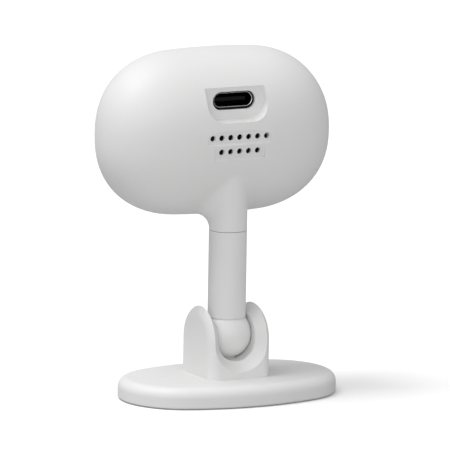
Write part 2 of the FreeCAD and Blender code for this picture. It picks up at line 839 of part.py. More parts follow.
def pocket_shape():
    """The plug recess: sharp at the top, round at its lower corners, with a sloped lower wall."""
    half, top, bottom = size("pocket_half_width"), size("pocket_top"), size("pocket_bottom")
    corner, floor = size("pocket_round"), size("pocket_floor_y")

    def outline(y, drop):
        low = bottom - drop
        right = half + drop / 6
        places = [VECTOR(-right, y, top), VECTOR(-right, y, low + corner), VECTOR(-right + corner, y, low),
                  VECTOR(right - corner, y, low), VECTOR(right, y, low + corner), VECTOR(right, y, top)]
        turn = corner * (1 - math.sqrt(0.5))
        left_mid = VECTOR(-right + turn, y, low + turn)
        right_mid = VECTOR(right - turn, y, low + turn)
        return Part.Wire([
            Part.LineSegment(places[0], places[1]).toShape(),
            Part.Arc(places[1], left_mid, places[2]).toShape(),
            Part.LineSegment(places[2], places[3]).toShape(),
            Part.Arc(places[3], right_mid, places[4]).toShape(),
            Part.LineSegment(places[4], places[5]).toShape(),
            Part.LineSegment(places[5], places[0]).toShape(),
        ])

    return Part.makeLoft([outline(floor, 0), outline(floor + 4, size("pocket_lead"))], True, True)


def speaker_holes():
    rows = ((size("hole_row_upper"), 3), (size("hole_row_lower"), 2))
    return [
        Part.makeCylinder(size("hole_radius"), 9, VECTOR(size("hole_pitch") * i, 0, height), BACK)
        for height, reach in rows for i in range(-reach, reach + 1)
    ]


def grille_ledges():
    """Two shallow wedges that let each row of holes into the dome, with a sloped ledge below it."""
    wedges = []
    slope = size("ledge_slope")
    for row in ("upper", "lower"):
        half, top, low = (size(row + "_ledge_" + word) for word in ("half_width", "top", "bottom"))
        top_y, low_y = size(row + "_ledge_top_y"), size(row + "_ledge_bottom_y")
        corners = [VECTOR(-half, top_y, top), VECTOR(-half, low_y, low),
                   VECTOR(-half, low_y + slope, low - slope), VECTOR(-half, 7, top)]
        face = Part.Face(Part.makePolygon(corners + corners[:1]))
        wedges.append(face.extrude(VECTOR(2 * half, 0, 0)))
    return wedges


def board_bosses(radius, front, back):
    middle, reach_x, reach_z = size("board_height"), size("board_screw_x"), size("board_screw_z")
    return [
        Part.makeCylinder(radius, back - front, VECTOR(x, front, middle + z), BACK)
        for x in (reach_x, -reach_x) for z in (reach_z, -reach_z)
    ]


def make_rear_housing(outer, inner):
    neck = Part.makeCylinder(size("post_radius"), 14, VECTOR(0, 0, size("neck_bottom")))
    form = outer.fuse(neck)
    limit = size("post_radius") + 0.1
    junction = [
        edge for edge in form.Edges
        if max(abs(edge.BoundBox.XMin), edge.BoundBox.XMax) < limit and edge.BoundBox.ZLength > 1
        and edge.BoundBox.YLength > 1 and edge.BoundBox.ZMin > size("neck_bottom") + 1
    ]
    form = form.makeFillet(size("neck_fillet"), junction)
    shell = form.cut(inner).common(behind(size("seam_y") + size("seam_gap")))

    half, floor, backing = size("pocket_half_width"), size("pocket_floor_y"), size("pocket_backing")
    port = size("port_height")
    pocket_block = slab((-half - 1.8, half + 1.8), (floor - backing, 8),
                        (size("pocket_bottom") - 1.2, size("pocket_top") + 1.8))
    speaker = size("speaker_height")
    length, height = size("speaker_half_length") + 0.1, size("speaker_half_height") + 0.1
    wall = size("collar_wall")
    collar = oblong(length + wall, height + wall, size("collar_front"), 8, speaker)
    bosses = board_bosses(size("boss_radius"), size("board_back"), 8)
    sleeve = Part.makeCylinder(size("post_radius"), 8, VECTOR(0, 0, size("neck_bottom") + 3))
    inside = pocket_block.fuse([collar, sleeve] + bosses).common(form)
    shell = shell.fuse(inside)

    speaker_space = oblong(length, height, -9, size("mesh_back") + 0.03, speaker)
    sound_path = oblong(length - 0.3, height - 0.3, -9, 8, speaker)
    sound_path = sound_path.common(head_solid(size("grille_wall")))
    bore = Part.makeCylinder(size("neck_bore_radius"), 20, VECTOR(0, 0, size("neck_bottom") - 1))
    wide_bore = Part.makeCylinder(size("neck_wide_radius"), size("neck_wide_top") - size("neck_floor"),
                                  VECTOR(0, 0, size("neck_floor")))
    port_hole = oblong(size("port_half_width"), size("port_half_height"), -5, 8, port)
    space = size("port_space")
    port_back = oblong(size("port_half_width") + space, size("port_half_height") + space, -5,
                       floor - size("port_lip"), port)
    pilots = board_bosses(size("board_screw_radius"), size("board_back") - 1, size("board_screw_tip") + 0.2)
    cuts = [speaker_space, sound_path, bore, wide_bore, pocket_shape(), port_hole, port_back]
    cuts += pilots + speaker_holes() + grille_ledges()
    shell = shell.cut(cuts)
    coded("rear_housing", max(shell.Solids, key=lambda solid: solid.Volume))


def make_front_bezel(outer, inner):
    front_y = size("seam_y")
    shell = outer.cut(inner).common(ahead(front_y))
    play, wall = size("lip_play"), size("lip_wall")
    lip_outer = head_solid(size("shell_wall") + play)
    lip_inner = head_solid(size("shell_wall") + play + wall)
    band = slab((-40, 40), (front_y - 0.5, front_y + size("lip_depth")), (0, 100))
    lip = lip_outer.cut(lip_inner).common(band)
    root = outer.cut(lip_inner).common(slab((-40, 40), (front_y - 0.9, front_y), (0, 100)))
    shell = shell.fuse([lip, root])
    back_wall = size("head_widest_y") - size("head_front_depth") + size("shell_wall")
    height = size("head_height")
    posts = [
        Part.makeCylinder(size("led_boss_radius"), size("led_board_front") - back_wall + 0.3,
                          VECTOR(sign * size("led_screw_x"), back_wall - 0.3, height), BACK)
        for sign in (1, -1)
    ]
    shell = shell.fuse(posts)
    play = size("window_play")
    recess = oval_prism(size("window_half_width") + play, size("window_half_height") + play,
                        -20, size("window_seat_y"))
    opening = oval_prism(size("opening_half_width"), size("opening_half_height"), -20, -10)
    pilots = [
        Part.makeCylinder(size("led_screw_radius"), size("led_board_front") + 1 - size("led_screw_tip"),
                          VECTOR(sign * size("led_screw_x"), size("led_screw_tip"), height), BACK)
        for sign in (1, -1)
    ]
    coded("front_bezel", shell.cut([recess, opening] + pilots))


def make_front_window():
    half_width, half_height = size("window_half_width"), size("window_half_height")
    rim, crown, height = size("window_rim_y"), size("window_crown"), size("head_height")
    insert = size("head_insert") * half_width / size("head_half_width")
    sections = [head_section(half_width, half_height, insert, rim, height)]
    for degrees in (12, 30, 50, 70):
        angle = math.radians(degrees)
        scale = math.cos(angle)
        sections.append(head_section(half_width * scale, half_height * scale, insert * scale,
                                     rim - crown * math.sin(angle), height))
    sections.append(Part.Vertex(0, rim - crown, height))
    edge = oval_prism(half_width, half_height, rim, size("window_seat_y"))
    coded("front_window", edge.fuse(Part.makeLoft(sections, True, True)))


# ---------------------------------------------------------------- boards and electronics

BOARD_SCREWS = [
    (sign_x + "board_screw_x", "board_height " + sign_z + " board_screw_z")
    for sign_x in ("", "-") for sign_z in ("+", "-")
]
LED_SCREWS = [("led_screw_x", "head_height"), ("-led_screw_x", "head_height")]


def plate_facing_back(label, outline, front, back, holes):
    """A flat plate across Y: its outline is drawn by a function, its holes are (x, z, radius)."""
    body = new_body(label)
    sketch = new_sketch(body, "XZ_Plane", label + "_outline", "-(%s)" % front)
    outline(sketch)
    for x, z, radius in holes:
        circle(sketch, x, z, radius)
    return body, pad(body, sketch, "(%s) - (%s)" % (back, front), reverse=True)


def make_main_board():
    def outline(sketch):
        rectangle(sketch, "-board_half_width", "board_half_width",
                  "board_height - board_half_height", "board_height + board_half_height")

    holes = [(x, z, "board_screw_radius + screw_play") for x, z in BOARD_SCREWS]
    body, plate = plate_facing_back("main_board", outline, "board_front", "board_back", holes)
    corner = size("board_half_width") - 0.01
    fillet(body, plate, lambda edge: edge.BoundBox.YLength > 0.5 and abs(edge.BoundBox.Center.x) > corner,
           "board_round")


def make_led_board():
    def outline(sketch):
        stadium(sketch, "0", "head_height", "led_board_half_length", "led_board_half_height")

    holes = [(x, z, "led_screw_radius + screw_play") for x, z in LED_SCREWS]
    holes.append(("0", "head_height", "led_hole_radius"))
    plate_facing_back("led_board", outline, "led_board_front", "led_board_back", holes)


def make_board_screws():
    members = []
    for i, place in enumerate(BOARD_SCREWS):
        name = "board_screw_%d" % i
        near = "board_front - board_screw_head_height"
        blank = screw(name, place, "board_screw_radius", ("board_front", "board_screw_tip"),
                      "board_screw_head_radius", near, "board_front", along="Y")
        depth = (near + " - 1", near + " + board_screw_head_height / 2")
        reach = "board_screw_head_radius * 0.7"
        members.append(cut(name, blank, *cross_recess(name, place, reach, depth, along="Y")))
    group("board_screws", members)


def make_led_screws():
    members = []
    for i, place in enumerate(LED_SCREWS):
        name = "led_screw_%d" % i
        far = "led_board_back + led_screw_head_height"
        blank = screw(name, place, "led_screw_radius", ("led_screw_tip", "led_board_back"),
                      "led_screw_head_radius", "led_board_back", far, along="Y")
        depth = (far + " - led_screw_head_height / 2", far + " + 1")
        reach = "led_screw_head_radius * 0.7"
        members.append(cut(name, blank, *cross_recess(name, place, reach, depth, along="Y")))
    group("led_board_screws", members)


def around(middle, half):
    return ("%s - %s" % (middle, half), "%s + %s" % (middle, half))


def make_board_parts():
    back, front = "board_back", "board_front"
    node(box("main_processor", around("-3", "4"), (back, back + " + 0.9"), around("50", "4")),
         "main_processor")
    node(box("thermal_pad", around("-3", "3.8"), (back + " + 0.9", back + " + 1.4"), around("50", "3.8")),
         "thermal_pad")
    node(box("heat_spreader", around("-2", "10"), (back + " + 1.4", back + " + 1.9"), around("50.2", "5.2")),
         "heat_spreader")
    can = box("wifi_can", around("-11.4", "3.8"), (front + " - 1.6", front), around("52.9", "4.2"))
    notch = box("wifi_notch", around("-11.4", "1.2"), (front + " - 0.6", front), around("48.7", "0.6"))
    node(cut("wifi_module", can, notch), "wifi_module")
    choke = box("choke_body", around("11.2", "2.2"), (front + " - 1.7", front), around("56", "2.2"))
    wind = level("choke_ring", "11.2", "56", "1.5", front + " - 2.1", front + " - 1.7")
    node(join("power_inductor", choke, wind), "power_inductor")
    node(box("board_header", around("0", "4"), (back, back + " + 2.4"), ("55.8", "usb_height - 2.43")),
         "board_header")
    board_top = "board_height + board_half_height"
    node(box("antenna", around("0", "11"), ("-9.6", "-6.4"), (board_top, board_top + " + 0.4")),
         "antenna")


def make_leds():
    members = []
    for i, (sign_x, sign_z) in enumerate((("", "+"), ("", "-"), ("-", "+"), ("-", "-"))):
        x = sign_x + "led_x"
        z = "head_height " + sign_z + " led_z"
        case = box("led_case_%d" % i, around(x, "led_half"), ("led_front + 0.4", "led_board_front"),
                   around(z, "led_half"))
        dome = level("led_dome_%d" % i, x, z, "led_half * 0.75", "led_front", "led_front + 0.6")
        members.append(join("led_%d" % i, case, dome))
    group("infrared_leds", members)
    front = "led_board_front"
    node(box("light_sensor", around("-13.8", "0.8"), (front + " - 0.6", front), around("head_height", "1")),
         "light_sensor")
    node(box("status_led", around("13.8", "0.5"), (front + " - 0.6", front), around("head_height", "0.8")),
         "status_led")
    mic_z = "head_height - 6.2"
    node(box("microphone", around("0", "1.4"), (front + " - 0.9", front), around(mic_z, "1.1")), "microphone")
    boot = level("boot_body", "0", mic_z, "1.5", "-13.1", front + " - 0.95")
    bore = level("boot_bore", "0", mic_z, "0.5", "-14", front)
    node(cut("microphone_boot", boot, bore), "microphone_boot")


def make_ribbon():
    """A flat flexible cable bent like a J between the two boards."""
    low = size("head_height") - size("led_board_half_height") + 1.2
    thickness, wide = 0.2, 4.0
    front, back = size("led_board_back"), size("board_front")
    radius = (back - front) / 2
    inner = radius - thickness
    middle = (front + back) / 2
    top = low + 2.4

    def wire(bend):
        left, right = middle - bend, middle + bend
        start, end = VECTOR(-wide, left, top), VECTOR(-wide, right, top)
        turn_in, turn_out = VECTOR(-wide, left, low), VECTOR(-wide, right, low)
        return start, turn_in, VECTOR(-wide, middle, low - bend), turn_out, end

    outside, inside = wire(radius), wire(inner)
    edges = [
        Part.LineSegment(outside[0], outside[1]).toShape(),
        Part.Arc(outside[1], outside[2], outside[3]).toShape(),
        Part.LineSegment(outside[3], outside[4]).toShape(),
        Part.LineSegment(outside[4], inside[4]).toShape(),
        Part.LineSegment(inside[4], inside[3]).toShape(),
        Part.Arc(inside[3], inside[2], inside[1]).toShape(),
        Part.LineSegment(inside[1], inside[0]).toShape(),
        Part.LineSegment(inside[0], outside[0]).toShape(),
    ]
    strip = Part.Face(Part.Wire(edges)).extrude(VECTOR(2 * wide, 0, 0))
    coded("ribbon_cable", strip)


# ---------------------------------------------------------------- lens


def make_lens():
    z = "head_height"
    body = box("holder_body", around("0", "holder_half"), ("holder_front", "board_front"),
               around(z, "holder_half"))
    hollow = box("holder_hollow", around("0", "holder_half - holder_wall"),
                 ("holder_front + holder_wall", "board_front + 1"), around(z, "holder_half - holder_wall"))
    thread = level("holder_thread", "0", z, "barrel_radius", "holder_front - 1", "board_front")
    node(cut("lens_holder", body, hollow, thread), "lens_holder")

    tube = level("barrel_tube", "0", z, "barrel_radius", "barrel_front", "barrel_back")
    lip = level("barrel_lip", "0", z, "barrel_lip_radius", "barrel_front", "barrel_lip_back")
    bore = level("barrel_bore", "0", z, "barrel_bore_radius", "barrel_front + 0.5", "barrel_back + 1")
    mouth = doc.addObject("Part::Cone", "barrel_mouth")
    mouth.Placement = FreeCAD.Placement(VECTOR(), FreeCAD.Rotation(SIDE, -90))
    bind(mouth, Radius1="barrel_lip_radius - 0.5", Radius2="barrel_bore_radius - 0.4", Height="0.7")
    bind(mouth, Placement__Base__y="barrel_front - 0.1", Placement__Base__z=z)
    node(cut("lens_barrel", join("barrel_solid", tube, lip), bore, mouth), "lens_barrel")

    lens_radius = "barrel_bore_radius - 0.02"
    front_edge = level("front_lens_edge", "0", z, lens_radius, "barrel_front + 0.55", "barrel_front + 1.9")
    front_curve = ball("front_lens_curve", "barrel_front + 5.6", z, "5")
    node(overlap("lens_front_element", front_edge, front_curve), "lens_front_element")
    rear_edge = level("rear_lens_edge", "0", z, lens_radius, "barrel_back - 1.5", "barrel_back - 0.2")
    rear_curve = ball("rear_lens_curve", "barrel_back - 5.3", z, "5")
    node(overlap("lens_rear_element", rear_edge, rear_curve), "lens_rear_element")

    filter_half = "holder_half - holder_wall - 0.1"
    node(box("ir_cut_filter", around("0", filter_half), ("barrel_back + 0.1", "barrel_back + 0.4"),
             around(z, filter_half)), "ir_cut_filter")
    node(box("image_sensor", around("0", "sensor_half_width"), ("sensor_front", "board_front"),
             around(z, "sensor_half_height")), "image_sensor")


# ---------------------------------------------------------------- speaker


def oblong_ring(label, outer, inner, front, back):
    """A flat ring with half-round ends, centred on the speaker."""
    body = new_body(label)
    sketch = new_sketch(body, "XZ_Plane", label + "_ring", "-(%s)" % front)
    for inset in filter(None, (outer, inner)):
        stadium(sketch, "0", "speaker_height",
                "speaker_half_length - " + inset, "speaker_half_height - " + inset)
    pad(body, sketch, "(%s) - (%s)" % (back, front), reverse=True)
    return body


def make_speaker():
    frame = oblong_ring("speaker_frame", "0", "speaker_wall", "speaker_front", "speaker_back")
    floor = new_sketch(frame, "XZ_Plane", "speaker_floor", "-speaker_front")
    stadium(floor, "0", "speaker_height", "speaker_half_length - 0.1", "speaker_half_height - 0.1")
    pad(frame, floor, "0.5", reverse=True)
    node(box("speaker_magnet", around("0", "4"), ("speaker_front - 0.9", "speaker_front"),
             around("speaker_height", "2.6")), "speaker_magnet")
    cone = oblong_ring("speaker_diaphragm", "cone_inset", "", "speaker_back - 0.9", "speaker_back - 0.6")
    crown = new_sketch(cone, "XZ_Plane", "diaphragm_crown", "0.6 - speaker_back")
    stadium(crown, "0", "speaker_height", "speaker_half_length - 2", "speaker_half_height - 2")
    raised = pad(cone, crown, "0.4", reverse=True)
    top = size("speaker_back") - 0.21
    fillet(cone, raised, lambda edge: edge.BoundBox.YMin > top, "spring_thickness")
    oblong_ring("speaker_gasket", "0", "0.8", "speaker_back", "gasket_back")
    oblong_ring("speaker_mesh", "0.1", "", "gasket_back", "mesh_back")


# ---------------------------------------------------------------- USB-C socket


def make_usb():
    body = new_body("usb_c_shell")
    ring = new_sketch(body, "XZ_Plane", "usb_ring", "-usb_front")
    stadium(ring, "0", "usb_height", "usb_half_width", "usb_half_height")
    stadium(ring, "0", "usb_height", "usb_half_width - usb_wall", "usb_half_height - usb_wall")
    pad(body, ring, "usb_mouth - usb_front", reverse=True)
    mouth = size("usb_mouth") - 0.01
    inside = size("usb_half_height") - 0.1

    def inner_edge(edge):
        bounds = edge.BoundBox
        height = size("usb_height")
        return bounds.YMin > mouth and bounds.ZMax < height + inside and bounds.ZMin > height - inside

    fillet(body, body.Tip, inner_edge, "usb_wall / 2")
    block = box("usb_block", around("0", "3"), ("usb_front + 0.1", "usb_front + 1.6"),
                around("usb_height", "1.25"))
    blade = box("usb_blade", around("0", "3.35"), ("usb_front + 1.4", "usb_mouth - 1.2"),
                around("usb_height", "0.35"))
    node(join("usb_c_tongue", block, blade), "usb_c_tongue")
    board_top = "usb_height - usb_half_height"
    node(box("usb_board", around("0", "usb_board_half_width"), ("usb_board_front", "usb_board_back"),
             (board_top + " - usb_board_thickness", board_top)), "usb_board")


# ---------------------------------------------------------------- build and write


def check():
    doc.recompute()
    for item in doc.Objects:
        if "Invalid" in item.State or "Error" in item.State:
            raise RuntimeError("%s is in state %s" % (item.Label, item.State))
    for item in nodes:
        if item.Shape.isNull() or not item.Shape.isValid() or not item.Shape.Solids:
            raise RuntimeError("%s has no valid solid" % item.Label)


def write():
    os.makedirs("parts", exist_ok=True)
    for item in nodes:
        item.Shape.exportStep("parts/%s.step" % item.Label)
        print("%-20s %3d solids %9.2f mm3" % (item.Label, len(item.Shape.Solids), item.Shape.Volume))


fill_sheet()
make_base_cover()
make_base_plate()
make_base_weight()
make_foot_pad()
make_foot_screws()
make_cradle_screws()
make_cradle()
make_friction_pad()
make_disc_spring()
make_ball_stud()
make_post()
head_outer = head_solid(0)
head_inner = head_solid(size("shell_wall"))
make_rear_housing(head_outer, head_inner)
make_front_bezel(head_outer, head_inner)
make_front_window()
make_main_board()
make_led_board()
make_board_screws()
make_led_screws()
make_board_parts()
make_leds()
make_ribbon()
make_lens()
make_speaker()
make_usb()
check()
write()
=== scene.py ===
import json
import math

import bpy
from mathutils import Matrix, Vector


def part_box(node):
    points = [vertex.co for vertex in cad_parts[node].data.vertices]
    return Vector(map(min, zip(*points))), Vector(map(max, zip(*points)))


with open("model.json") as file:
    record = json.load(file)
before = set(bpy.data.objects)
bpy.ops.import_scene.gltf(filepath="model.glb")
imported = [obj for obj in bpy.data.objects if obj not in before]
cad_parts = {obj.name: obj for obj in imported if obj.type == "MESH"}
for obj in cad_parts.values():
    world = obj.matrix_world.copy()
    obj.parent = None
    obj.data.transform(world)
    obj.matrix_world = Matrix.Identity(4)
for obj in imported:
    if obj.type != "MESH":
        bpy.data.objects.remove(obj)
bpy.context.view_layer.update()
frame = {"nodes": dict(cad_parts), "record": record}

SCENE = bpy.context.scene
NODES = frame["nodes"]
RECORD = frame["record"]


# ---------------------------------------------------------------- material helpers

def new_material(name):
    material = bpy.data.materials.new(name)
    material.use_nodes = True
    tree = material.node_tree
    tree.nodes.clear()
    output = tree.nodes.new("ShaderNodeOutputMaterial")
    shader = tree.nodes.new("ShaderNodeBsdfPrincipled")
    tree.links.new(shader.outputs["BSDF"], output.inputs["Surface"])
    return material, tree, shader


def coordinates(tree, stretch=(1, 1, 1)):
    source = tree.nodes.new("ShaderNodeTexCoord")
    mapping = tree.nodes.new("ShaderNodeMapping")
    mapping.inputs["Scale"].default_value = stretch
    tree.links.new(source.outputs["Object"], mapping.inputs["Vector"])
    return mapping.outputs["Vector"]


def noise(tree, vector, scale, detail=2.0, roughness=0.5):
    node = tree.nodes.new("ShaderNodeTexNoise")
    node.inputs["Scale"].default_value = scale
    node.inputs["Detail"].default_value = detail
    node.inputs["Roughness"].default_value = roughness
    tree.links.new(vector, node.inputs["Vector"])
    return node.outputs["Fac"]


def spread(tree, value, low, high):
    """A noise value stretched over a range."""
    node = tree.nodes.new("ShaderNodeMapRange")
    node.inputs["From Min"].default_value = 0.3
    node.inputs["From Max"].default_value = 0.7
    node.inputs["To Min"].default_value = low
    node.inputs["To Max"].default_value = high
    tree.links.new(value, node.inputs["Value"])
    return node.outputs["Result"]


def shade(tree, value, color, variation):
    """The colour, made a little lighter and darker by a noise value."""
    node = tree.nodes.new("ShaderNodeMix")
    node.data_type = "RGBA"
    dark = [channel * (1 - variation) for channel in color[:3]] + [1]
    light = [min(1, channel * (1 + variation)) for channel in color[:3]] + [1]
    node.inputs["A"].default_value = dark
    node.inputs["B"].default_value = light
    tree.links.new(value, node.inputs["Factor"])
    return node.outputs["Result"]


def bump(tree, shader, height, strength, distance, before=None):
    node = tree.nodes.new("ShaderNodeBump")
    node.inputs["Strength"].default_value = strength
    node.inputs["Distance"].default_value = distance
    tree.links.new(height, node.inputs["Height"])
    if before is not None:
        tree.links.new(before, node.inputs["Normal"])
    tree.links.new(node.outputs["Normal"], shader.inputs["Normal"])
    return node.outputs["Normal"]


def moulded(name, color, rough, grain=4500.0, relief=0.12, variation=0.015, sheen=0.0, coat=0.0,
            specular=0.42):
    """Moulded plastic or rubber: a fine spark-eroded grain, slow tone drift and uneven gloss."""
    material, tree, shader = new_material(name)
    vector = coordinates(tree)
    slow = noise(tree, vector, 55.0, 3.0)
    mottle = noise(tree, vector, 420.0, 4.0, 0.6)
    fine = noise(tree, vector, grain, 3.0, 0.6)
    tone = shade(tree, spread(tree, slow, 0, 1), color, variation)
    tree.links.new(tone, shader.inputs["Base Color"])
    tree.links.new(spread(tree, mottle, rough - 0.05, rough + 0.05), shader.inputs["Roughness"])
    first = bump(tree, shader, fine, relief, 0.00003)
    bump(tree, shader, mottle, relief * 0.35, 0.00006, first)
    shader.inputs["Specular IOR Level"].default_value = specular
    shader.inputs["Sheen Weight"].default_value = sheen
    shader.inputs["Coat Weight"].default_value = coat
    shader.inputs["Coat Roughness"].default_value = 0.06
    return material


def metal(name, color, rough, stretch=(1, 1, 12), streak=900.0, relief=0.15):
    """Plated, brushed or stamped metal with drawn streaks and faint stains."""
    material, tree, shader = new_material(name)
    vector = coordinates(tree, stretch)
    streaks = noise(tree, vector, streak, 4.0, 0.6)
    stains = noise(tree, coordinates(tree), 260.0, 3.0)
    tree.links.new(shade(tree, spread(tree, stains, 0, 1), color, 0.08), shader.inputs["Base Color"])
    tree.links.new(spread(tree, streaks, rough - 0.07, rough + 0.08), shader.inputs["Roughness"])
    shader.inputs["Metallic"].default_value = 1.0
    bump(tree, shader, streaks, relief, 0.00002)
    return material


def socket_metal(name, plated, painted_highlight, rough):
    """Dark plated sheet metal with a painted highlight: a light colour on the rounded edge that the
    plug slides over.
    """
    material, tree, shader = new_material(name)
    vector = coordinates(tree, (1, 8, 1))
    streaks = noise(tree, vector, 900.0, 4.0, 0.6)
    facing = tree.nodes.new("ShaderNodeTexCoord")
    parts = tree.nodes.new("ShaderNodeSeparateXYZ")
    tree.links.new(facing.outputs["Normal"], parts.inputs["Vector"])
    ramp = tree.nodes.new("ShaderNodeValToRGB")
    stops = ramp.color_ramp.elements
    stops[0].position, stops[0].color = 0.10, list(plated) + [1]
    stops[1].position, stops[1].color = 0.98, list(plated) + [1]
    # Painted highlight: the light colour covers faces whose normal leans partly towards +Y, which is
    # the rounded edge.
    for place in (0.25, 0.93):
        stops.new(place).color = list(painted_highlight) + [1]
    tree.links.new(parts.outputs["Y"], ramp.inputs["Fac"])
    tree.links.new(ramp.outputs["Color"], shader.inputs["Base Color"])
    tree.links.new(spread(tree, streaks, rough - 0.06, rough + 0.06), shader.inputs["Roughness"])
    shader.inputs["Metallic"].default_value = 1.0
    bump(tree, shader, streaks, 0.12, 0.00002)
    return material


def circuit(name, color, pad_color):
    """A printed board: solder mask with small plated dots scattered over it."""
    material, tree, shader = new_material(name)
    vector = coordinates(tree)
    tracks = tree.nodes.new("ShaderNodeTexVoronoi")
    tracks.distance = "MANHATTAN"
    tracks.feature = "F1"
    tracks.inputs["Scale"].default_value = 520.0
    tree.links.new(vector, tracks.inputs["Vector"])
    ramp = tree.nodes.new("ShaderNodeValToRGB")
    ramp.color_ramp.elements[0].position = 0.12
    ramp.color_ramp.elements[0].color = list(pad_color) + [1]
    ramp.color_ramp.elements[1].position = 0.16
    ramp.color_ramp.elements[1].color = list(color) + [1]
    tree.links.new(tracks.outputs["Distance"], ramp.inputs["Fac"])
    tree.links.new(ramp.outputs["Color"], shader.inputs["Base Color"])
    mottle = noise(tree, vector, 900.0, 3.0)
    tree.links.new(spread(tree, mottle, 0.25, 0.4), shader.inputs["Roughness"])
    bump(tree, shader, tracks.outputs["Distance"], 0.2, 0.00003)
    return material


def clear(name, color, rough, ior, amount):
    """Clear epoxy or optical glass with faint dust in its gloss."""
    material, tree, shader = new_material(name)
    vector = coordinates(tree)
    dust = noise(tree, vector, 1500.0, 4.0, 0.7)
    slow = noise(tree, vector, 120.0)
    tree.links.new(shade(tree, spread(tree, slow, 0, 1), color, 0.03), shader.inputs["Base Color"])
    tree.links.new(spread(tree, dust, rough, rough + 0.04), shader.inputs["Roughness"])
    shader.inputs["IOR"].default_value = ior
    shader.inputs["Transmission Weight"].default_value = amount
    return material


def woven(name, color):
    """A fine dust cloth: two crossed sets of threads."""
    material, tree, shader = new_material(name)
    vector = coordinates(tree)
    threads = []
    for direction in ("X", "Z"):
        wave = tree.nodes.new("ShaderNodeTexWave")
        wave.bands_direction = direction
        wave.inputs["Scale"].default_value = 1200.0
        tree.links.new(vector, wave.inputs["Vector"])
        threads.append(wave.outputs["Fac"])
    both = tree.nodes.new("ShaderNodeMath")
    both.operation = "MULTIPLY"
    tree.links.new(threads[0], both.inputs[0])
    tree.links.new(threads[1], both.inputs[1])
    tree.links.new(shade(tree, both.outputs[0], color, 0.5), shader.inputs["Base Color"])
    shader.inputs["Roughness"].default_value = 0.9
    bump(tree, shader, both.outputs[0], 0.5, 0.00005)
    return material


WINDOW_BLACK = 0.006
# Place across the window as a share of twice the lens radius, and the grey there.
WINDOW_RINGS = ((0.497, 0.75), (0.505, WINDOW_BLACK), (0.53, WINDOW_BLACK),
                (0.535, 0.10), (0.56, 0.10), (0.565, WINDOW_BLACK))


def smoked_window(name, middle, radius):
    """A glossy black window, clear over the lens, with a printed grey ring round the clear part."""
    material, tree, shader = new_material(name)
    vector = coordinates(tree)
    flat = tree.nodes.new("ShaderNodeVectorMath")
    flat.operation = "MULTIPLY"
    flat.inputs[1].default_value = (1, 0, 1)
    tree.links.new(vector, flat.inputs[0])
    distance = tree.nodes.new("ShaderNodeVectorMath")
    distance.operation = "DISTANCE"
    distance.inputs[1].default_value = (middle[0], 0, middle[2])
    tree.links.new(flat.outputs["Vector"], distance.inputs[0])
    clear_part = tree.nodes.new("ShaderNodeMapRange")
    clear_part.inputs["From Min"].default_value = radius
    clear_part.inputs["From Max"].default_value = radius + 0.00008
    clear_part.inputs["To Min"].default_value = 0.96
    clear_part.inputs["To Max"].default_value = 0.0
    tree.links.new(distance.outputs["Value"], clear_part.inputs["Value"])
    tree.links.new(clear_part.outputs["Result"], shader.inputs["Transmission Weight"])
    rings = tree.nodes.new("ShaderNodeValToRGB")
    stops = rings.color_ramp.elements
    stops[0].position, stops[0].color = 0.0, (0.75, 0.76, 0.80, 1)
    stops[1].position, stops[1].color = 1.0, (WINDOW_BLACK, WINDOW_BLACK, 0.007, 1)
    for place, tone in WINDOW_RINGS:
        stop = stops.new(place)
        stop.color = (tone, tone, tone, 1)
    scaled = tree.nodes.new("ShaderNodeMath")
    scaled.operation = "DIVIDE"
    scaled.inputs[1].default_value = radius * 2
    tree.links.new(distance.outputs["Value"], scaled.inputs[0])
    tree.links.new(scaled.outputs["Value"], rings.inputs["Fac"])
    tree.links.new(rings.outputs["Color"], shader.inputs["Base Color"])
    smears = noise(tree, vector, 160.0, 5.0, 0.7)
    tree.links.new(spread(tree, smears, 0.03, 0.09), shader.inputs["Roughness"])
    shader.inputs["Coat Weight"].default_value = 0.5
    shader.inputs["Coat Roughness"].default_value = 0.03
    bump(tree, shader, noise(tree, vector, 60.0), 0.04, 0.00004)
    return material


